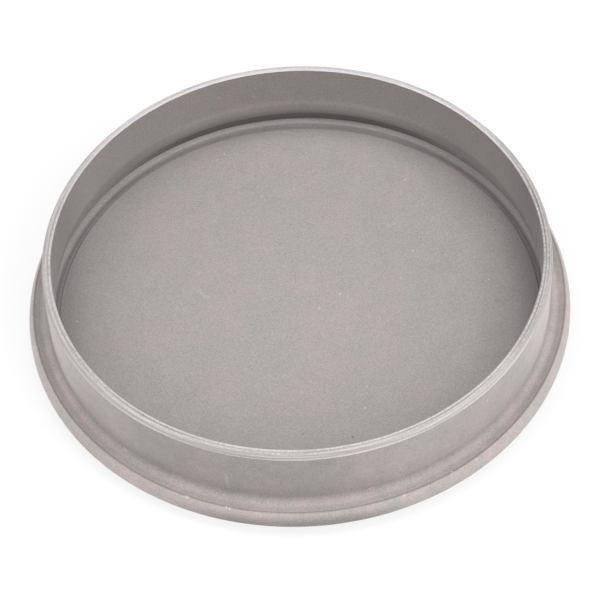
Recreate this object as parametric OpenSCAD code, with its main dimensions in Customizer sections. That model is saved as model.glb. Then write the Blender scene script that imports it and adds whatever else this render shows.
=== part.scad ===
// Hub grease cap: a shallow metal cup that presses into the end of a wheel hub.
// Z = 0 is the closed face, and the open mouth points up. The section below is drawn
// as radius against height, and is revolved once round the Z axis.

/* [Spigot] */
// Diameter of the plain wall that presses into the hub
spigot_d = 80; // [40:0.5:160]
// Height from the closed face to the lip
height = 15.74; // [12:0.02:40]
// Thickness of the wall
wall_t = 1.5; // [1.2:0.1:3]

/* [Lip] */
// Width of the lead-in chamfer, measured along the radius
lead_in_w = 0.47; // [0.2:0.01:0.6]
// Height of the lead-in chamfer
lead_in_h = 0.7; // [0.3:0.05:2]
// Size of the broken edge round the inside of the mouth
mouth_break = 0.05; // [0.03:0.01:0.3]

/* [Flange] */
// How far the widest ring of the flange stands out past the spigot
flange_w = 3.33; // [3.2:0.01:8]
// Thickness of the flange from its underside to its seat
flange_t = 2.4; // [1.8:0.05:2.6]
// Height of the seat's outer edge above the closed face
seat_h = 4.9; // [4.6:0.1:8]
// How far the shoulder leans in from the widest ring to the seat's edge
shoulder_w = 0.79; // [0.3:0.01:0.9]
// Radius that rounds the widest ring into the underside
rim_round = 0.1; // [0.05:0.05:0.5]
// Width of the flat land that the hub's end face rests on
seat_land = 0.3; // [0.1:0.05:0.5]
// How much lower the seat is at the spigot than at its land
seat_fall = 0.6; // [0.1:0.05:0.8]
// Radius of the fillet between the spigot and the seat
foot_fillet = 1.2; // [0.4:0.1:1.5]

/* [Pan] */
// How far the side of the pan stands back under the flange's widest ring
pan_inset = 1.5; // [1:0.05:1.8]
// Radius that rounds the pan's side into the closed face
pan_round = 2; // [0.5:0.1:2]

/* [Inside] */
// Thickness of the floor
floor_t = 1.5; // [1.3:0.1:2.5]
// How far the relief round the foot of the wall runs out past the bore
relief_w = 2.12; // [2:0.02:2.2]
// Angle between the relief's upper flank and the axis
relief_lean = 43; // [38:1:46]
// Height of the relief's upright back, below its flank
relief_back = 0.9; // [0.85:0.05:1.4]
// Radius in the bottom corner of the relief
relief_round = 0.8; // [0.3:0.05:0.8]
// Radius that eases the bore into the relief's flank
throat_round = 6; // [1:0.1:6.5]
// How far the floor's crisp edge lies outside the bore
floor_edge = 0.04; // [0.02:0.01:0.1]
// Width of the shallow groove between the floor and the relief
groove_w = 1.16; // [0.6:0.02:1.2]
// Depth of that groove below the floor
groove_d = 0.2; // [0.1:0.05:0.4]

/* [Hidden] */
// Facets of a full turn in the preview
turn_facets = 240;
// Depth by which one shape runs into or past the next
bite = 0.3;

spigot_r = spigot_d / 2;
bore_r = spigot_r - wall_t;
flange_r = spigot_r + flange_w;
seat_edge_r = flange_r - shoulder_w;
flange_low = seat_h - flange_t;
// The shoulder is the arc that leaves the widest ring upright and ends at the seat's edge
ring_h = flange_low + rim_round;
shoulder_h = seat_h - ring_h;
shoulder_r = (pow(shoulder_w, 2) + pow(shoulder_h, 2)) / (2 * shoulder_w);
pan_r = flange_r - pan_inset;
edge_r = bore_r + floor_edge;
groove_r = edge_r + groove_w;
relief_r = bore_r + relief_w;
flank_low = floor_t + relief_back;
flank_top = flank_low + relief_w / tan(relief_lean);
// Neither rounding runs past the end of the side that it rounds
pan_corner = min(pan_round, flange_low - 0.05);
relief_bend = min(relief_round, relief_r - groove_r - 0.05);

// Corners of the section that are rounded below
seat_foot = [spigot_r, seat_h - seat_fall];
land_inner = [seat_edge_r - seat_land, seat_h];
throat = [bore_r, flank_top];
flank_end = [relief_r, flank_low];
relief_corner = [relief_r, floor_t];

function unit(v) = v / norm(v);

// Space between the corner at p and the arc of radius r that touches both its sides.
// The sides run from p towards a and towards b
module corner_space(p, a, b, r) {
    u = unit(a - p);
    v = unit(b - p);
    half = acos(u * v) / 2;
    middle = unit(u + v);
    centre = p + middle * r / sin(half);
    touch_a = p + u * r / tan(half);
    touch_b = p + v * r / tan(half);
    difference() {
        polygon([
            centre,
            touch_a + unit(touch_a - centre) * bite,
            p - middle * bite / sin(half),
            touch_b + unit(touch_b - centre) * bite
        ]);
        translate(centre) circle(r, $fn = turn_facets);
    }
}

// Pan below the flange, which ends in the closed face
module pan_section() {
    difference() {
        square([pan_r, flange_low + bite]);
        corner_space([pan_r, 0], [0, 0], [pan_r, seat_h], pan_corner);
    }
}

// Flange and spigot as one full disc up to the lip, with the shoulder and the small
// rounding of the widest ring taken off its edge
module blank_section() {
    difference() {
        translate([0, flange_low]) square([flange_r, height - flange_low]);
        difference() {
            translate([seat_edge_r, ring_h]) square([shoulder_w + bite, shoulder_h + bite]);
            translate([flange_r - shoulder_r, ring_h]) circle(shoulder_r, $fn = turn_facets);
        }
        difference() {
            translate([flange_r - rim_round, flange_low - bite]) square(rim_round + bite);
            translate([flange_r - rim_round, ring_h]) circle(rim_round, $fn = turn_facets);
        }
    }
}

// Space outside the cup above the flange. It leaves the flat land, the seat that falls
// towards the spigot, the fillet, the plain wall and the lead-in chamfer
module outside_section() {
    chamfer_run = lead_in_w / lead_in_h;
    difference() {
        polygon([
            [spigot_r - lead_in_w - bite * chamfer_run, height + bite],
            [spigot_r, height - lead_in_h],
            seat_foot,
            land_inner,
            [flange_r + bite, seat_h],
            [flange_r + bite, height + bite]
        ]);
        corner_space(seat_foot, land_inner, [spigot_r, height], foot_fillet);
    }
}

// Space inside the cup: the bore, its broken edge at the mouth, the relief at its foot
// and the shallow groove between the relief and the floor
module inside_section() {
    difference() {
        union() {
            polygon([
                [-bite, floor_t],
                [edge_r, floor_t],
                [edge_r, floor_t - groove_d],
                [groove_r, floor_t - groove_d],
                [groove_r, floor_t],
                relief_corner,
                flank_end,
                throat,
                [bore_r, height - mouth_break],
                [bore_r + mouth_break + bite, height + bite],
                [-bite, height + bite]
            ]);
            corner_space(throat, [bore_r, height], flank_end, throat_round);
        }
        corner_space(relief_corner, flank_end, [bore_r, floor_t], relief_bend);
    }
}

module cap_section() {
    difference() {
        union() {
            pan_section();
            blank_section();
        }
        outside_section();
        inside_section();
    }
}

module cap() {
    color("#aca7a3") rotate_extrude($fn = turn_facets) cap_section();
}

cap();
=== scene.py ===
# %% [markdown]
# # A hub grease cap
#
# The real object is a shallow metal cup. It closes the end of a wheel hub and keeps the
# grease in. It could be made as one casting, blasted clean, with the lip, the wall and the
# seat of the flange turned on a lathe. The flange stops the cap when it is driven home, and
# the lip is cut last, so it is brighter than the dull skin.
#
# The CAD part comes first. It is the fixed frame for all that follows: same metres, same
# origin, closed face at height zero, open mouth up.

# %% Load the frame
import math

import bmesh
import bpy
from mathutils import Euler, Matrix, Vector


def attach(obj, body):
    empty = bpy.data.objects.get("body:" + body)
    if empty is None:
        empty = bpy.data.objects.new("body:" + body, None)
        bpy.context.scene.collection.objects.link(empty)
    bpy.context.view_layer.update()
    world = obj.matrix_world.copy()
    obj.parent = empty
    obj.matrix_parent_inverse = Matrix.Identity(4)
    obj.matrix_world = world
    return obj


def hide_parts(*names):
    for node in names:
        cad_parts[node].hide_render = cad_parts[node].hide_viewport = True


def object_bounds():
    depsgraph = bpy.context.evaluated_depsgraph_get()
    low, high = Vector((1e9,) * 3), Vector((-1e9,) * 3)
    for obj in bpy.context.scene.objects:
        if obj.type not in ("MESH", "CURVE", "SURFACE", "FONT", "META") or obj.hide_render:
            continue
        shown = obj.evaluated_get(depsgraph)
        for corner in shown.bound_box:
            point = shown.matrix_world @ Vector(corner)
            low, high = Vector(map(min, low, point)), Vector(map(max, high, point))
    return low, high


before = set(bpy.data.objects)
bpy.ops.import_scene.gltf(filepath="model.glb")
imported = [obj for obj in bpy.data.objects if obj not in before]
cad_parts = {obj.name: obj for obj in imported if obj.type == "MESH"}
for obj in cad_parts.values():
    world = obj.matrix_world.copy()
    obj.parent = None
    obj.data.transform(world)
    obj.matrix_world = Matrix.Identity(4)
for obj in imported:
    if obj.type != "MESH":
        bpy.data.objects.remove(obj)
cad_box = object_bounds()
MM = 0.001
low, high = cad_box
print("CAD box in mm:", [round((b - a) / MM, 2) for a, b in zip(low, high)])

# %% [markdown]
# ## Camera
#
# The camera stands where the circles of the cap say it stood. Every ring of a turned part
# is a true circle, so the ellipses in the photograph fix the direction that it looks in and
# its slight roll. They say much less about its distance: anything from about seven to ten
# times the radius of the flange fits about equally well, and a distance in that range was
# chosen. The place, the turn and the lens come from such a fit, made outside this script.

# %% Place the camera
CAMERA_AT = Vector((0.0, -0.25775, 0.32318))
CAMERA_TURN = Euler([math.radians(a) for a in (38.786, 2.0024, -2.5189)])
CAMERA_LENS, SENSOR_WIDTH, NEAREST_SEEN = 153.8, 36.0, 0.01

camera_data = bpy.data.cameras.new("camera")
camera_data.lens = CAMERA_LENS
camera_data.sensor_width = SENSOR_WIDTH
camera_data.clip_start = NEAREST_SEEN
camera = bpy.data.objects.new("camera", camera_data)
camera.location = CAMERA_AT
camera.rotation_euler = CAMERA_TURN
bpy.context.scene.collection.objects.link(camera)
bpy.context.scene.camera = camera
print("camera distance in mm:", round(CAMERA_AT.length / MM))

# %% [markdown]
# ## Writing nodes as sums
#
# Both the shape and the finish below are sums over positions. A node for each plus and
# minus would hide them, so one small class stands for an output socket, and Python's own
# operators add the Math nodes. Every other node comes from `Net.node`, which takes the
# node's type, its settings, and the values or links of its sockets.

# %% A socket that can be added and multiplied
class Number:
    """A number that a node puts out, used like a number in Python."""

    def __init__(self, net, socket):
        self.net, self.socket = net, socket

    def math(self, operation, *others):
        values = dict(enumerate((self, *others)))
        return self.net.number("ShaderNodeMath", {"operation": operation}, values)

    def swapped(self, operation, other):
        return self.net.number("ShaderNodeMath", {"operation": operation}, {0: other, 1: self})

    def __add__(self, other):
        return self.math("ADD", other)

    def __radd__(self, other):
        return self.swapped("ADD", other)

    def __sub__(self, other):
        return self.math("SUBTRACT", other)

    def __rsub__(self, other):
        return self.swapped("SUBTRACT", other)

    def __mul__(self, other):
        return self.math("MULTIPLY", other)

    def __rmul__(self, other):
        return self.swapped("MULTIPLY", other)

    def __truediv__(self, other):
        return self.math("DIVIDE", other)

    def __rtruediv__(self, other):
        return self.swapped("DIVIDE", other)

    def __neg__(self):
        return self.math("MULTIPLY", -1.0)


class Net:
    """A node tree, with one method that adds any node."""

    def __init__(self, tree):
        self.tree = tree

    def node(self, kind, settings=None, values=None):
        node = self.tree.nodes.new(kind)
        for name, value in (settings or {}).items():
            setattr(node, name, value)
        for key, value in (values or {}).items():
            socket = self.socket(node.inputs, key)
            if isinstance(value, Number):
                value = value.socket
            if isinstance(value, bpy.types.NodeSocket):
                self.tree.links.new(value, socket)
            else:
                socket.default_value = value
        return node

    def socket(self, sockets, key):
        """A socket by its place, or the enabled one of that name."""
        if isinstance(key, int):
            return sockets[key]
        return next(s for s in sockets if s.name == key and s.enabled)

    def number(self, kind, settings=None, values=None, out=0):
        node = self.node(kind, settings, values)
        return Number(self, self.socket(node.outputs, out))

    def point(self, *parts):
        """A vector socket made from up to three numbers."""
        return self.node("ShaderNodeCombineXYZ", None, dict(enumerate(parts))).outputs[0]

    def ramp(self, value, start, end):
        """A smooth rise from zero to one while value goes from start to end."""
        return self.number(
            "ShaderNodeMapRange",
            {"interpolation_type": "SMOOTHSTEP"},
            {"Value": value, "From Min": start, "From Max": end},
            out="Result",
        )

    def band(self, value, middle, half_width, soft):
        """One inside a band round middle, and zero outside it."""
        away = (value - middle).math("ABSOLUTE")
        return self.ramp(away, half_width + soft, max(half_width - soft, 0.0))


def added(start, changes):
    """The start, plus each mask times its strength."""
    total = start
    for mask, strength in changes:
        total = total + mask * strength
    return total


print("socket class ready")

# %% [markdown]
# ## The section
#
# A turned cup is one outline, radius against height, swung round an axis. The outline is a
# list of corners, each with the radius that rounds it. It starts on the axis under the
# closed face, goes out round the flange, up the wall, over the lip, down the bore, out into
# the relief at the foot, and back along the floor.
#
# The foot of the wall is the part to get right. A large radius eases the bore into a
# leaning flank, which runs out above a narrow cleft. Below the cleft lie a small ledge, a
# shallow groove and then the crisp edge of the floor. The photograph shows all of these as
# thin light and dark rings.

# %% Sizes of the section, in millimetres
SPIGOT_R = 40.0                      # outside of the wall
WALL = 1.5                           # thickness of the wall
HEIGHT = 15.74                       # closed face to lip
SEAT_H = 4.9                         # closed face to the seat of the flange
RIM_R, RIM_ROUND = 43.33, 0.1        # widest ring of the flange, and its lower edge
FLANGE_LOW = 2.5                     # closed face to the flange's underside
SHOULDER_H, SHOULDER_R = 3.885, 3.74  # corner of the flange's face, and its rounding
SEAT_EDGE_R = 42.54                  # where the cut seat ends in a crisp edge
SEAT_LAND = 0.3                      # flat land inside that edge
SEAT_FALL = 0.6                      # how much lower the seat is at the wall than at its edge
FOOT_FILLET = 1.2                    # rounding between wall and seat
FLOOR_H = 1.5                        # closed face to floor
PAN_R, PAN_ROUND = 41.83, 2.0        # side of the shallow pan below the flange
LIP_CHAMFER = (0.47, 0.7)            # width and height
GROOVE_IN, GROOVE_OUT = 38.54, 39.75
GROOVE_FLOOR_H, GROOVE_ROUND = 1.22, 0.05
MOUTH_BREAK = 0.05
bore_r = SPIGOT_R - WALL

# %% Corners of the section: radius, height and rounding
THROAT = (bore_r, 6.6, 9.0)
CLEFT = [(40.45, 2.1, 0.15), (41.0, 1.95, 0.1), (40.95, 1.72, 0.1)]
GROOVE = [
    (GROOVE_OUT, FLOOR_H, GROOVE_ROUND), (GROOVE_OUT - 0.15, GROOVE_FLOOR_H, GROOVE_ROUND),
    (GROOVE_IN + 0.1, GROOVE_FLOOR_H, GROOVE_ROUND), (GROOVE_IN, FLOOR_H, 0.02),
]
# Points along the long straight sides give the uneven skin something to move
UNDER_ROW_R, WALL_ROWS_H, BORE_ROWS_H = 20.0, (9.0, 12.0, 14.2), (13.0, 10.0)
FLOOR_ROWS_R = (34.0, 26.0, 13.0)

section = [
    (0.0, 0.0, 0.0), (UNDER_ROW_R, 0.0, 0.0), (PAN_R, 0.0, PAN_ROUND), (PAN_R, FLANGE_LOW, 0.0),
    (RIM_R, FLANGE_LOW, RIM_ROUND), (RIM_R, SHOULDER_H, SHOULDER_R), (SEAT_EDGE_R, SEAT_H, 0.0),
    (SEAT_EDGE_R - SEAT_LAND, SEAT_H, SEAT_LAND), (SPIGOT_R, SEAT_H - SEAT_FALL, FOOT_FILLET),
    *[(SPIGOT_R, h, 0.0) for h in WALL_ROWS_H],
    (SPIGOT_R, HEIGHT - LIP_CHAMFER[1], 0.0), (SPIGOT_R - LIP_CHAMFER[0], HEIGHT, 0.0),
    (bore_r + MOUTH_BREAK, HEIGHT, 0.0), (bore_r, HEIGHT - MOUTH_BREAK, 0.0),
    *[(bore_r, h, 0.0) for h in BORE_ROWS_H],
    THROAT, *CLEFT, *GROOVE,
    *[(row_r, FLOOR_H, 0.0) for row_r in FLOOR_ROWS_R], (0.0, FLOOR_H, 0.0),
]
print("corners in the section:", len(section))

# %% [markdown]
# ## Swinging the section round
#
# Geometry Nodes does the turning, so the counts stay open to change. The tree rounds the
# corners with Fillet Curve, lays out a flat grid with one row for each point of the section
# and one column for each step of the turn, and then moves each grid point to where its row
# and column say. Merge by Distance closes the seam and the two poles.

# %% The turning tree
STEPS_ROUND, STEPS_IN_CORNER = 800, 7
LIP_NICKS, NICK_DEPTH, SKIN_UNEVENNESS = 40, 0.00004, 0.00003


def tree_input(tree, name, kind, default=None):
    socket = tree.interface.new_socket(
        name=name, in_out="INPUT", socket_type="NodeSocket" + kind)
    if default is not None:
        socket.default_value = default
    return socket


turning = bpy.data.node_groups.new("turned_from_section", "GeometryNodeTree")
turning.is_modifier = True
tree_input(turning, "Section", "Geometry")
tree_input(turning, "Steps round", "Int", STEPS_ROUND)
tree_input(turning, "Steps in a corner", "Int", STEPS_IN_CORNER)
tree_input(turning, "Lip nicks", "Int", LIP_NICKS)
tree_input(turning, "Nick depth", "Float", NICK_DEPTH)
tree_input(turning, "Skin unevenness", "Float", SKIN_UNEVENNESS)
tree_input(turning, "Finish", "Material")
turning.interface.new_socket(name="Cap", in_out="OUTPUT", socket_type="NodeSocketGeometry")
print("inputs of the tree:", len(turning.interface.items_tree) - 1)

# %% Round the corners and lay out the grid
net = Net(turning)
given = net.node("NodeGroupInput")
source = {s.name: s for s in given.outputs if s.name}
steps = Number(net, source["Steps round"])
corner_round = net.number(
    "GeometryNodeInputNamedAttribute", {"data_type": "FLOAT"}, {"Name": "round"}, "Attribute")
outline = net.node("GeometryNodeMeshToCurve", None, {"Mesh": source["Section"]})
rounded = net.node("GeometryNodeFilletCurve", {"mode": "POLY"}, {
    "Curve": outline.outputs[0], "Count": source["Steps in a corner"], "Radius": corner_round})
points = net.node("GeometryNodeCurveToPoints", {"mode": "EVALUATED"}, {
    "Curve": rounded.outputs[0]})
rows = net.number("GeometryNodeAttributeDomainSize", {"component": "POINTCLOUD"},
                  {"Geometry": points.outputs["Points"]}, out="Point Count")
grid = net.node("GeometryNodeMeshGrid", None, {"Vertices X": steps + 1, "Vertices Y": rows})

# %% Where each grid point goes
ROW_GUARD = 0.25      # keeps a row's number clear of the step between two whole numbers
SAME_POINT = 1e-6

index = net.number("GeometryNodeInputIndex")
row = index.math("MODULO", rows)
column = (index / rows).math("FLOOR")
place = net.node("GeometryNodeInputPosition")
sample = net.node(
    "GeometryNodeSampleIndex", {"data_type": "FLOAT_VECTOR", "domain": "POINT"}, {
        "Geometry": points.outputs["Points"], "Value": place.outputs[0],
        "Index": (row + ROW_GUARD).math("FLOOR")})
parts = net.node("ShaderNodeSeparateXYZ", None, {0: net.socket(sample.outputs, "Value")})
radius, height = Number(net, parts.outputs["X"]), Number(net, parts.outputs["Z"])
turn = column / steps * (2 * math.pi)
swung = net.node("GeometryNodeSetPosition", None, {
    "Geometry": grid.outputs["Mesh"],
    "Position": net.point(radius * turn.math("COSINE"), radius * turn.math("SINE"), height)})
closed = net.node("GeometryNodeMergeByDistance", None, {
    "Geometry": swung.outputs[0], "Distance": SAME_POINT})
print("nodes so far:", len(turning.nodes))

# %% [markdown]
# ## Wear that is shape
#
# Two kinds of wear are part of the shape. Blasting leaves the skin slightly uneven, and
# knocks leave nicks along the lip. The nicks are points scattered on the lip's ring with
# fixed seeds. Every vertex asks how far the nearest one is, and sinks by a smooth amount.

# %% Nicks along the lip
NICK_SIZE = 0.0003
NICK_TURN_SEED, NICK_REACH_SEED = 7, 12
NICK_REACH = (bore_r + 0.1, SPIGOT_R - 0.3)

nick_turn = net.number("FunctionNodeRandomValue", {"data_type": "FLOAT"}, {
    "Min": 0.0, "Max": 2 * math.pi, "Seed": NICK_TURN_SEED}, out="Value")
nick_reach = net.number("FunctionNodeRandomValue", {"data_type": "FLOAT"}, {
    "Min": NICK_REACH[0] * MM, "Max": NICK_REACH[1] * MM, "Seed": NICK_REACH_SEED}, out="Value")
nick_place = net.point(
    nick_reach * nick_turn.math("COSINE"), nick_reach * nick_turn.math("SINE"), HEIGHT * MM)
nick_points = net.node("GeometryNodePoints", None, {
    "Count": source["Lip nicks"], "Position": nick_place})
nearest = net.number("GeometryNodeProximity", {"target_element": "POINTS"},
                     {"Geometry": nick_points.outputs[0]}, out="Distance")
nick = net.ramp(nearest, NICK_SIZE, 0.0)
nicked = net.node("GeometryNodeSetPosition", None, {
    "Geometry": closed.outputs[0],
    "Offset": net.point(0.0, 0.0, -(nick * Number(net, source["Nick depth"])))})
print("nicks:", LIP_NICKS, "depth in mm:", NICK_DEPTH / MM)

# %% Uneven skin
UNEVEN_SCALE = 130.0

skin_noise = net.number("ShaderNodeTexNoise", None, {"Scale": UNEVEN_SCALE, "Detail": 2.0})
normal = net.node("GeometryNodeInputNormal")
sink = net.node("ShaderNodeVectorMath", {"operation": "SCALE"}, {
    0: normal.outputs[0], "Scale": -(skin_noise * Number(net, source["Skin unevenness"]))})
uneven = net.node("GeometryNodeSetPosition", None, {
    "Geometry": nicked.outputs[0], "Offset": sink.outputs[0]})
print("waves of the skin, in mm across:", round(1 / UNEVEN_SCALE / MM, 1))

# %% Shade it and hand it over
SHARP_ANGLE = math.radians(22)

edge_angle = net.number("GeometryNodeInputMeshEdgeAngle", out="Unsigned Angle")
soft_edge = net.node("FunctionNodeCompare", {"operation": "LESS_THAN"}, {
    0: edge_angle, 1: SHARP_ANGLE})
smooth_faces = net.node("GeometryNodeSetShadeSmooth", {"domain": "FACE"}, {
    "Geometry": uneven.outputs[0]})
smooth = net.node("GeometryNodeSetShadeSmooth", {"domain": "EDGE"}, {
    "Geometry": smooth_faces.outputs[0], "Shade Smooth": soft_edge.outputs[0]})
real = net.node("GeometryNodeRealizeInstances", None, {"Geometry": smooth.outputs[0]})
coated = net.node("GeometryNodeSetMaterial", None, {
    "Geometry": real.outputs[0], "Material": source["Finish"]})
net.node("NodeGroupOutput", None, {0: coated.outputs[0]})
print("nodes in the turning tree:", len(turning.nodes))

# %% [markdown]
# ## The finish
#
# Blasted metal is rough: it has the colour of its own reflections, spread wide. The lip is
# cut last, so it is smoother and brighter, with fine lines left by the tool. One material
# does both. It works out height and radius from Object coordinates, so each mask below can
# be written as a place on the section, in millimetres.

# %% Coordinates for the finish
skin = bpy.data.materials.new("blasted_and_turned_metal")
skin.use_nodes = True
net = Net(skin.node_tree)
skin.node_tree.nodes.clear()
coords = net.node("ShaderNodeTexCoord")
at = coords.outputs["Object"]
xyz = net.node("ShaderNodeSeparateXYZ", None, {0: at})
x, y, z = (Number(net, s) / MM for s in xyz.outputs)
r = (x * x + y * y).math("SQRT")
around = y.math("ARCTAN2", x)
off_axis = x.math("ABSOLUTE")
print("coordinates: x, y, z, radius and turn")

# %% [markdown]
# ## Masks
#
# A mask is one where a part of the finish is and zero elsewhere. A pair of numbers below
# says where a mask starts and where it is full, and three numbers say the middle of a band,
# half its width and how soft its sides are. The inside and the outside of the cup part
# within the wall, and lower down the parting moves out, to follow the relief.

# %% Inside, outside, lip and chamfer
PARTING_R, PARTING_SOFT, PARTING_SHIFT = SPIGOT_R - 0.45, 0.05, 1.85
PARTING_MOVES_H = (5.4, 4.0)
INSIDE_H = (0.9, 1.1)
LIP_H = (HEIGHT - 0.06, HEIGHT - 0.02)
RAGGED_SCALE, RAGGED_HEIGHT, CHAMFER_SOFT = 700.0, 0.25, 0.04
MIDDLE = 0.5          # mean value of a noise

ragged = net.number("ShaderNodeTexNoise", None, {
    "Vector": at, "Scale": RAGGED_SCALE, "Detail": 3.0}) - MIDDLE
parting = PARTING_R + net.ramp(z, *PARTING_MOVES_H) * PARTING_SHIFT
inner = net.ramp(r - parting, PARTING_SOFT, -PARTING_SOFT) * net.ramp(z, *INSIDE_H)
outer = 1.0 - inner
lip = net.ramp(z, *LIP_H)
chamfer_edge = HEIGHT - LIP_CHAMFER[1] + ragged * RAGGED_HEIGHT
chamfer = net.ramp(z - chamfer_edge, -CHAMFER_SOFT, CHAMFER_SOFT) * (1.0 - lip) * outer
print("parting of inside and outside at radius:", round(PARTING_R, 2))

# %% Masks inside the cup
INNER_WALL_H, ON_FLOOR_H = (1.8, 2.2), (FLOOR_H + 0.2, FLOOR_H + 0.1)
FAR_FOOT_Y, THROAT_BAND = (27.0, 37.0), (7.1, 1.3, 0.9)
FOOT_SHADE_H, FAR_FOOT_SHADE_H = (5.5, 2.4), (5.2, 3.7)
GROOVE_BAND = ((GROOVE_IN + GROOVE_OUT) / 2, (GROOVE_OUT - GROOVE_IN) / 2, 0.06)
GROOVE_SIDE_BAND = (GROOVE_OUT - 0.35, 0.25, 0.15)
LEDGE_R, LEDGE_H = (GROOVE_OUT - 0.03, GROOVE_OUT + 0.25), (1.85, 1.75)
INNER_FLOOR_R, SIDES_X = (GROOVE_IN, GROOVE_IN - 0.2), (33.0, 38.5)

inner_wall = inner * net.ramp(z, *INNER_WALL_H)
on_floor = net.ramp(z, *ON_FLOOR_H)
far_foot = net.ramp(y, *FAR_FOOT_Y)
# Painted light: a paler band on the throat, at the back of the cup only
throat = inner_wall * net.band(z, *THROAT_BAND) * far_foot
# Painted shade: darker towards the foot of the inner wall, and more at the back of the cup
foot_shade = inner_wall * net.ramp(z, *FOOT_SHADE_H)
far_foot_shade = inner_wall * net.ramp(z, *FAR_FOOT_SHADE_H) * far_foot
# Painted shade: darker in the groove, and along its outer side except at the back
groove = inner * net.band(r, *GROOVE_BAND)
groove_side = inner * net.band(r, *GROOVE_SIDE_BAND) * on_floor * (1.0 - far_foot)
# Painted light: the ledge below the cleft is paler, more at the back
ledge = inner * net.ramp(r, *LEDGE_R) * net.ramp(z, *LEDGE_H)
inner_floor = inner * net.ramp(r, *INNER_FLOOR_R) * on_floor
# Painted shade: darker towards the left and right inner sides of the cup
inner_sides = (inner_floor + inner_wall) * net.ramp(off_axis, *SIDES_X)
print("groove middle and half width:", [round(v, 3) for v in GROOVE_BAND[:2]])

# %% Masks outside the cup
FILLET_IN, FILLET_OUT, FILLET_H = (39.9, 40.5), (41.6, 40.9), (7.0, 5.2)
SEAT_CORNER_BAND, SEAT_CORNER_H = (SEAT_EDGE_R - 0.22, 0.10, 0.10), (4.4, 4.6)
FLANGE_H = (SEAT_H - 0.02, SEAT_H - 0.06)
FLANGE_R = (SEAT_EDGE_R - 0.05, SEAT_EDGE_R + 0.05)
OUTER_WALL_H, SIDE_LIGHT_X, RIGHT_SIDE_X = (5.4, 6.4), (31.0, 39.5), (31.0, 38.5)
WALL_PATCH_TO, WALL_PATCH = (-0.26, -0.966), (33.0, 39.0)
RIM_PATCH_TO, RIM_PATCH, RIM_PATCH_H = (-0.07, -0.998), (38.5, 42.8), (4.9, 3.0)


def distance_towards(direction):
    """How far a point lies from the axis in one direction across it."""
    return x * direction[0] + y * direction[1]


# Painted light: the fillet at the foot of the outer wall is paler
fillet = outer * net.ramp(r, *FILLET_IN) * net.ramp(r, *FILLET_OUT) * net.ramp(z, *FILLET_H)
# Painted shade: a dark line where the seat's flat land bends down towards the wall
seat_corner = outer * net.band(r, *SEAT_CORNER_BAND) * net.ramp(z, *SEAT_CORNER_H)
flange = outer * net.ramp(z, *FLANGE_H) * net.ramp(r, *FLANGE_R)
outer_wall = outer * net.ramp(z, *OUTER_WALL_H)
# Painted light: paler towards the left and right sides of the outer wall, fillet and flange
lit_sides = net.ramp(off_axis, *SIDE_LIGHT_X)
# Painted shade: darker on the right side, used only on the lip
right_side = net.ramp(x, *RIGHT_SIDE_X)
# Painted shade: darker towards the front of the outer wall, a little to the left
wall_patch = outer_wall * net.ramp(distance_towards(WALL_PATCH_TO), *WALL_PATCH)
# Painted shade: darker low on the front of the flange
rim_patch = flange * net.ramp(distance_towards(RIM_PATCH_TO), *RIM_PATCH)
rim_patch = rim_patch * net.ramp(z, *RIM_PATCH_H)
print("nodes after the masks:", len(skin.node_tree.nodes))

# %% [markdown]
# ## Grain and specks
#
# Blasting leaves a grain of about a fifth of a millimetre. Above it lie slow mottling, a
# slight drift between pink and green grey, and a few specks where the skin is bright or
# pitted.

# %% Grain, mottling and specks
GRAIN, CLOUDS, DRIFT, SPECKS = 5600.0, 200.0, 700.0, 330.0
SPECK_REACH = (0.07, 0.02)
PALE_SHARE, DARK_SHARE = (0.30, 0.29), (0.75, 0.76)

grain = net.number("ShaderNodeTexNoise", None, {"Vector": at, "Scale": GRAIN, "Detail": 2.0})
clouds = net.number("ShaderNodeTexNoise", None, {"Vector": at, "Scale": CLOUDS, "Detail": 3.0})
drift = net.number("ShaderNodeTexNoise", None, {
    "Vector": at, "Scale": DRIFT, "Detail": 4.0, "Roughness": 0.7})
cells = net.node("ShaderNodeTexVoronoi", None, {"Vector": at, "Scale": SPECKS})
near_speck = net.ramp(Number(net, cells.outputs["Distance"]), *SPECK_REACH)
speck_kind = net.number("ShaderNodeSeparateColor", None, {0: cells.outputs["Color"]})
pale_speck = near_speck * net.ramp(speck_kind, *PALE_SHARE)
dark_speck = near_speck * net.ramp(speck_kind, *DARK_SHARE)
shade = added(1.0, [
    (clouds - MIDDLE, 0.10), ((clouds - MIDDLE) * outer, 0.12), ((drift - MIDDLE) * outer, 0.22),
    (grain - MIDDLE, 0.64), (pale_speck, 0.5), (dark_speck, -0.35),
])
print("grain in mm:", round(1 / GRAIN / MM, 2))

# %% [markdown]
# ## Marks that the cap has picked up
#
# A few marks can be told apart: pale scratches and small specks on the floor, a smear on
# the wall and scuffs on the seat. Each is a short stroke between two points, soft at its
# sides, broken up by the grain. Their ends were picked in the photograph, and were
# turned into millimetres through the camera above, outside this script.

# %% A stroke between two points
def stroke(ends, half_width, across_z=False):
    """One on a line between two (x, y) or (degrees, height) places, zero away from it."""
    (ax, ay), (bx, by) = ends
    u, v = (around * (180 / math.pi), z) if across_z else (x, y)
    length = math.hypot(bx - ax, by - ay)
    dx, dy = (bx - ax) / length, (by - ay) / length
    along = (u - ax) * dx + (v - ay) * dy
    beside = ((u - ax) * dy - (v - ay) * dx).math("ABSOLUTE")
    past = (along - length / 2).math("ABSOLUTE")
    near_line = net.ramp(beside, half_width, 0.0)
    return near_line * net.ramp(past, length / 2 + half_width, length / 2 - half_width)


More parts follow.
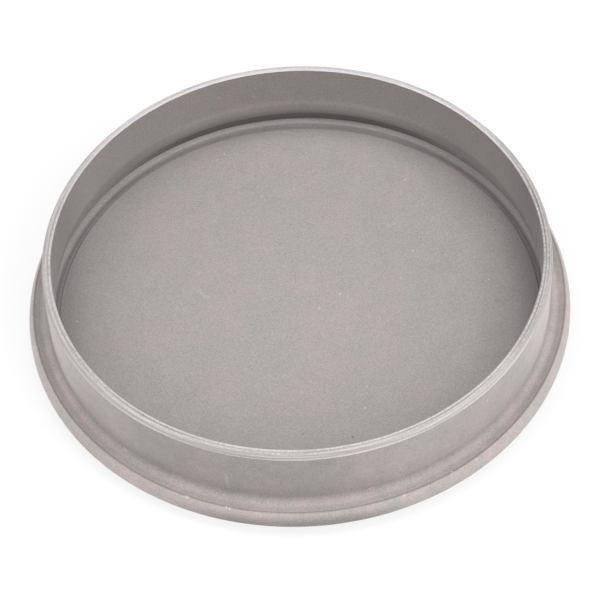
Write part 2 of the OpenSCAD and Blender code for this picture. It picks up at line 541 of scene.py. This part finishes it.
# Each mark: its two ends, half its width, and its strength, below zero where dark. Marks on
# the floor are in mm, and the others in degrees round and mm up
FLOOR_SCRATCHES = [
    (((-17.1, 5.2), (-14.3, 2.5)), 0.55, 0.10), (((16.4, -5.0), (17.5, -5.7)), 0.16, 0.16),
    (((17.5, -5.7), (18.6, -5.2)), 0.16, 0.14), (((17.0, 11.2), (17.0, 5.7)), 0.10, 0.10),
    (((15.0, 15.6), (16.7, 16.4)), 0.5, 0.07), (((-3.1, -13.9), (-1.5, -13.0)), 0.3, 0.05),
    (((31.3, -1.0), (32.3, -1.6)), 0.35, -0.10),
]
FLOOR_SPECKS = [
    (((6.95, -26.4), (7.1, -26.5)), 0.26, -0.9), (((-25.3, 24.6), (-25.2, 24.7)), 0.17, -0.4),
    (((-10.7, 30.4), (-10.5, 30.4)), 0.17, -0.35), (((16.6, 4.7), (16.7, 4.7)), 0.17, 0.6),
    (((-0.7, 1.5), (-0.6, 1.5)), 0.2, 0.5), (((-10.8, 10.9), (-10.7, 10.9)), 0.17, 0.45),
    (((-12.4, 32.6), (-12.3, 32.6)), 0.2, 0.6), (((-17.1, 29.3), (-17.0, 29.3)), 0.17, 0.5),
    (((1.4, 27.9), (1.5, 27.9)), 0.17, 0.4),
]
SIDE_STROKES = [
    (((-108.1, 9.8), (-107.7, 6.5)), 0.8, 0.18), (((-134.1, 5.2), (-133.0, 5.1)), 0.25, 0.30),
    (((-78.0, 5.3), (-75.7, 5.5)), 0.3, 0.16), (((-104.6, 11.5), (-102.0, 11.2)), 0.3, 0.06),
]
EDGE_STROKES = [
    (((-107.7, 4.85), (-106.2, 4.85)), 0.35, 0.30), (((-116.8, 4.85), (-115.2, 4.85)), 0.3, 0.25),
    (((-71.2, 4.8), (-70.4, 4.8)), 0.3, 0.25), (((-159.0, 4.8), (-157.5, 4.8)), 0.3, 0.18),
]
print("strokes:", len(FLOOR_SCRATCHES + FLOOR_SPECKS + SIDE_STROKES + EDGE_STROKES))

# %% Put the strokes where they belong
ON_EDGE_R = (42.2, 42.4)
STAIN, STAIN_R = (((-9.5, 2.2), (-5.0, 2.6)), 1.3), (38.3, 38.8)
BROKEN_BY_GRAIN = (0.35, 0.6)

marks = added(0.0, [
    (stroke(ends, width) * on_floor * inner, strength)
    for ends, width, strength in FLOOR_SCRATCHES + FLOOR_SPECKS
] + [
    (stroke(ends, width, across_z=True) * outer, strength)
    for ends, width, strength in SIDE_STROKES
] + [
    (stroke(ends, width, across_z=True) * net.ramp(r, *ON_EDGE_R), strength)
    for ends, width, strength in EDGE_STROKES
])
stain = stroke(*STAIN, across_z=True) * inner * net.ramp(r, *STAIN_R)
broken = net.ramp(grain, *BROKEN_BY_GRAIN)
print("nodes after the marks:", len(skin.node_tree.nodes))

# %% [markdown]
# ## The cut lip
#
# A lathe tool leaves rings. Seen close, each ring is bright or dull in turn, and breaks off
# where the metal tore. Two noises on radius and turn give both: one is stretched along the
# turn, and the other is broken up along it. The crisp inner edge catches the light.

# %% Turning lines
RINGS_ACROSS, RINGS_ROUND = 3.0, 2.5
TEARS_ACROSS, TEARS_ROUND = 2.0, 80.0

rings = net.number("ShaderNodeTexNoise", {"noise_dimensions": "2D"}, {
    "Vector": net.point((r - z) * RINGS_ACROSS, around * RINGS_ROUND),
    "Scale": 1.0, "Detail": 3.0})
tears = net.number("ShaderNodeTexNoise", {"noise_dimensions": "2D"}, {
    "Vector": net.point(r * TEARS_ACROSS, around * TEARS_ROUND),
    "Scale": 1.0, "Detail": 4.0, "Roughness": 0.7})
print("turning lines for each mm of radius:", RINGS_ACROSS)

# %% Glints and dull lines on the lip
FAR_SIDE_Y, FAR_SIDE_GLINTS = (5.0, 30.0), 0.18
INNER_GLINT, SECOND_GLINT = (bore_r + 0.26, 0.09, 0.06), (bore_r + 0.80, 0.08, 0.06)
DARK_LINE, CHAMFER_RIM = (bore_r + 0.52, 0.08, 0.07), (0.05, 0.03, 0.04)
INNER_GLINT_TEARS, SECOND_GLINT_TEARS = (0.44, 0.54), (0.56, 0.46)
DARK_LINE_TEARS, CHAMFER_RIM_TEARS = (0.66, 0.5), (0.40, 0.52)
INNER_HALF = (bore_r + 0.75, bore_r + 0.45)
SECOND_GLINT_POWER, SECOND_GLINT_LOSS = 0.9, 0.5

far_side = net.ramp(y, *FAR_SIDE_Y)
inner_glint = net.band(r, *INNER_GLINT) * net.ramp(
    tears + far_side * FAR_SIDE_GLINTS, *INNER_GLINT_TEARS)
second_glint = net.band(r, *SECOND_GLINT) * net.ramp(tears, *SECOND_GLINT_TEARS)
second_glint = second_glint * (SECOND_GLINT_POWER - far_side * SECOND_GLINT_LOSS)
glint = lip * (inner_glint + second_glint)
dark_line = net.band(r, *DARK_LINE) * net.ramp(tears, *DARK_LINE_TEARS)
# Painted highlight: a pale broken line along the chamfer's lower edge
chamfer_rim = chamfer * net.band(z - chamfer_edge, *CHAMFER_RIM)
chamfer_rim = chamfer_rim * net.ramp(tears, *CHAMFER_RIM_TEARS)
# Painted light on the inner half of the lip at the back, and painted shade on its right side
lip_shade = added(1.0, [
    (rings - MIDDLE, 0.9), (grain - MIDDLE, 0.5), (dark_line * lip, -0.30), (chamfer_rim, 0.25),
    (lip * far_side * net.ramp(r, *INNER_HALF), 0.5), (lip * right_side, -0.22),
])
print("nodes after the lip:", len(skin.node_tree.nodes))

# %% [markdown]
# ## Colour
#
# The level of each place comes first, as a sum of masks. Much of it is painted light and
# shade: painted shade inside the cup, at the foot of its wall, in the groove, on the inner
# sides, in the seat's corner and on two patches at the front, and painted light on the
# throat at the back, on the ledge, on the outer fillet and on the outer sides. On the lip,
# the inner half at the back is painted paler and the right side painted darker. The masks
# for the sides, the patches, the far foot and the halves of the lip follow shading in the
# photograph, so they would look a little wrong under a very different light. Level times
# grain gives the tone, and the tone times a pinkish grey gives the skin. The cut metal is
# laid over it, and the glints over both.

# %% Levels and colours put together
SKIN_COLOUR, CUT_COLOUR = (0.518, 0.490, 0.484), (0.74, 0.70, 0.69)
GLINT_COLOUR = (0.98, 0.95, 0.94, 1.0)
MARK_STRENGTH, CHAMFER_DULL = 1.3, 0.22
PINK_DRIFT, PINK_CLOUDS, STAIN_WARMTH, OUTER_WARMTH = 0.16, 0.05, 0.3, 0.02
GREEN_SHARE_OF_PINK, GREEN_SHARE_OF_WARM = 0.6, 0.5

level = added(1.0, [
    # painted shade inside the cup and at the foot of its wall, more at the back; painted light on
    # the throat at the back
    (inner_wall, -0.06), (throat, 0.17), (foot_shade, -0.20), (far_foot_shade, -0.28),
    # painted shade on the inner sides, in the groove and at its outer side
    (inner_sides, -0.14), (groove, -0.15), (groove_side, -0.16),
    # painted light on the ledge, more at the back, and on the outer fillet, more at the sides
    (ledge, 0.12), (ledge * far_foot, 0.20), (fillet, 0.04), (fillet * lit_sides, 0.12),
    # the outer wall is paler, with painted light on its sides and painted shade on a patch at the
    # front
    (outer_wall, 0.05), (outer_wall * lit_sides, 0.20), (wall_patch, -0.12),
    # painted shade in the seat's corner and low on the front of the flange; a paler flange, with
    # painted light on its sides
    (seat_corner, -0.25), (flange, 0.17), (flange * lit_sides, 0.05), (rim_patch, -0.32),
])
tone = level * shade + marks * broken * MARK_STRENGTH
pink = (drift - MIDDLE) * PINK_DRIFT + (clouds - MIDDLE) * PINK_CLOUDS
warm = stain * STAIN_WARMTH + outer * OUTER_WARMTH
tints = (1.0 + pink, 1.0 - pink * GREEN_SHARE_OF_PINK - warm * GREEN_SHARE_OF_WARM, 1.0 - warm)
skin_rgb = [tone * c * tint for c, tint in zip(SKIN_COLOUR, tints)]
cut_rgb = [lip_shade * c * (1.0 - chamfer * CHAMFER_DULL) for c in CUT_COLOUR]
skin_colour = net.node("ShaderNodeCombineColor", None, dict(enumerate(skin_rgb)))
cut_colour = net.node("ShaderNodeCombineColor", None, dict(enumerate(cut_rgb)))
over_skin = net.node("ShaderNodeMix", {"data_type": "RGBA"}, {
    "Factor": lip + chamfer, "A": skin_colour.outputs[0], "B": cut_colour.outputs[0]})
colour = net.node("ShaderNodeMix", {"data_type": "RGBA"}, {
    "Factor": glint, "A": net.socket(over_skin.outputs, "Result"), "B": GLINT_COLOUR})
print("skin colour:", SKIN_COLOUR, "cut colour:", CUT_COLOUR)

# %% Put the finish together
GRAIN_HEIGHT, GRAIN_STRENGTH, TEAR_DEPTH = 0.00002, 0.6, 5.0
SKIN_ROUGH, WALL_ROUGH, CUT_ROUGH = 0.88, 0.8, 0.42
CHAMFER_SMOOTHER, GLINT_SMOOTHER = 0.14, 0.14

roughness = added(SKIN_ROUGH, [
    (outer_wall, WALL_ROUGH - SKIN_ROUGH), (lip, CUT_ROUGH - SKIN_ROUGH),
    (chamfer, -CHAMFER_SMOOTHER), (glint, -GLINT_SMOOTHER),
])
bump = net.node("ShaderNodeBump", None, {
    "Strength": GRAIN_STRENGTH, "Distance": GRAIN_HEIGHT,
    "Height": grain + tears * lip * TEAR_DEPTH})
metal = net.node("ShaderNodeBsdfPrincipled", None, {
    "Base Color": net.socket(colour.outputs, "Result"), "Metallic": 1.0,
    "Roughness": roughness, "Normal": bump.outputs[0]})
net.node("ShaderNodeOutputMaterial", None, {0: metal.outputs[0]})
print("nodes in the finish:", len(skin.node_tree.nodes))

# %% [markdown]
# ## Making the cap
#
# The corners become a small mesh with one edge from each corner to the next and the
# rounding as an attribute. The modifier turns it into the cap, and the result is kept as a
# plain mesh, which then stands for the CAD solid.

# %% Run the tree and keep the mesh
outline_mesh = bpy.data.meshes.new("section_corners")
outline_mesh.from_pydata([(a * MM, 0.0, b * MM) for a, b, _ in section],
                         [(i, i + 1) for i in range(len(section) - 1)], [])
rounding = outline_mesh.attributes.new("round", "FLOAT", "POINT")
rounding.data.foreach_set("value", [c * MM for _, _, c in section])
holder = bpy.data.objects.new("section_corners", outline_mesh)
bpy.context.scene.collection.objects.link(holder)
modifier = holder.modifiers.new("turning", "NODES")
modifier.node_group = turning
sockets = {s.name: s.identifier for s in turning.interface.items_tree if s.in_out == "INPUT"}
modifier[sockets["Steps round"]] = STEPS_ROUND
modifier[sockets["Finish"]] = skin
depsgraph = bpy.context.evaluated_depsgraph_get()
cap_mesh = bpy.data.meshes.new_from_object(holder.evaluated_get(depsgraph))
cap_mesh.name = "grease_cap"
bpy.data.objects.remove(holder)
cap = bpy.data.objects.new("grease_cap", cap_mesh)
bpy.context.scene.collection.objects.link(cap)
print("points in the cap:", len(cap_mesh.vertices))

# %% Check that it is closed and faces out
check = bmesh.new()
check.from_mesh(cap_mesh)
volume = check.calc_volume(signed=True)
if volume < 0:
    bmesh.ops.reverse_faces(check, faces=check.faces)
    check.to_mesh(cap_mesh)
open_edges = sum(1 for e in check.edges if not e.is_manifold)
triangles = sum(len(f.verts) - 2 for f in check.faces)
check.free()
print("volume in cubic mm:", round(volume / MM ** 3), "open edges:", open_edges,
      "triangles:", triangles)
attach(cap, "root")
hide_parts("cap")

# %% [markdown]
# ## The stage
#
# The cap lies on a white table in a light tent. The floor looks white to the camera and in
# the metal's reflections, but keeps a little of its true shade, so the cap's soft shadow
# stays.

# %% Floor
FLOOR_SIZE, FLOOR_GREY, WHITE_SHARE = 3.0, 0.78, 0.8

half = FLOOR_SIZE / 2
floor_mesh = bpy.data.meshes.new("table")
floor_mesh.from_pydata(
    [(-half, -half, 0), (half, -half, 0), (half, half, 0), (-half, half, 0)], [], [(0, 1, 2, 3)])
table = bpy.data.objects.new("table", floor_mesh)
bpy.context.scene.collection.objects.link(table)
paper = bpy.data.materials.new("white_table")
paper.use_nodes = True
paper.node_tree.nodes.clear()
net = Net(paper.node_tree)
light_path = net.node("ShaderNodeLightPath")
camera_ray, glossy_ray, through_ray = (
    Number(net, light_path.outputs[name])
    for name in ("Is Camera Ray", "Is Glossy Ray", "Is Transmission Ray"))
seen = (camera_ray + glossy_ray + through_ray).math("MINIMUM", 1.0)
dull = net.node("ShaderNodeBsdfDiffuse", None, {
    "Color": (FLOOR_GREY, FLOOR_GREY, FLOOR_GREY, 1.0)})
white = net.node("ShaderNodeEmission", None, {"Color": (1.0, 1.0, 1.0, 1.0), "Strength": 1.0})
both = net.node("ShaderNodeMixShader", None, {
    0: seen * WHITE_SHARE, 1: dull.outputs[0], 2: white.outputs[0]})
net.node("ShaderNodeOutputMaterial", None, {0: both.outputs[0]})
table.data.materials.append(paper)
print("table in metres across:", FLOOR_SIZE)

# %% [markdown]
# ## Light
#
# A light tent is white cloth with lamps outside it. Square lamps at one distance stand for
# the lit parts of the cloth, and a faint world fills the rest. The strongest boxes stand
# high on the right, at the left and at the front right, where the shading in the
# photograph puts them. The powers, and the places of some boxes, come from a fit made
# outside this script: boxes were rendered one at a time, and their sum was set against the
# photograph. The powers were then rounded, and a few were moved.

# %% Lamps
TENT_GLOW = 0.02
LAMP_DISTANCE = 0.9
# Name, degrees round, degrees up, size in metres, power in watts
LAMPS = [
    ("overhead_box", 0, 90, 0.34, 0.9), ("overhead_right_box", 345, 69, 0.55, 4.0),
    ("overhead_left_box", 180, 68, 0.40, 1.5), ("left_box", 196, 41, 0.75, 3.6),
    ("front_right_box", 315, 42, 0.55, 3.6), ("front_box", 270, 40, 0.55, 1.4),
    ("back_box", 90, 40, 0.60, 0.8), ("right_low_box", 350, 15, 0.60, 1.8),
    ("left_low_box", 185, 15, 0.60, 0.6), ("back_low_box", 90, 15, 0.60, 1.0),
]


def soft_box(name, around_deg, up_deg, size, power):
    data = bpy.data.lights.new(name, "AREA")
    data.energy, data.size = power, size
    lamp = bpy.data.objects.new(name, data)
    a, e = math.radians(around_deg), math.radians(up_deg)
    direction = Vector((math.cos(a) * math.cos(e), math.sin(a) * math.cos(e), math.sin(e)))
    lamp.location = direction * LAMP_DISTANCE
    lamp.rotation_euler = (-direction).to_track_quat("-Z", "Y").to_euler()
    bpy.context.scene.collection.objects.link(lamp)


world = bpy.data.worlds.new("light_tent")
bpy.context.scene.world = world
world.use_nodes = True
tent = world.node_tree.nodes["Background"]
tent.inputs["Color"].default_value = (1.0, 1.0, 1.0, 1.0)
tent.inputs["Strength"].default_value = TENT_GLOW
for lamp in LAMPS:
    soft_box(*lamp)
bpy.context.scene.view_settings.view_transform = "Standard"
print("lamps:", len(LAMPS))
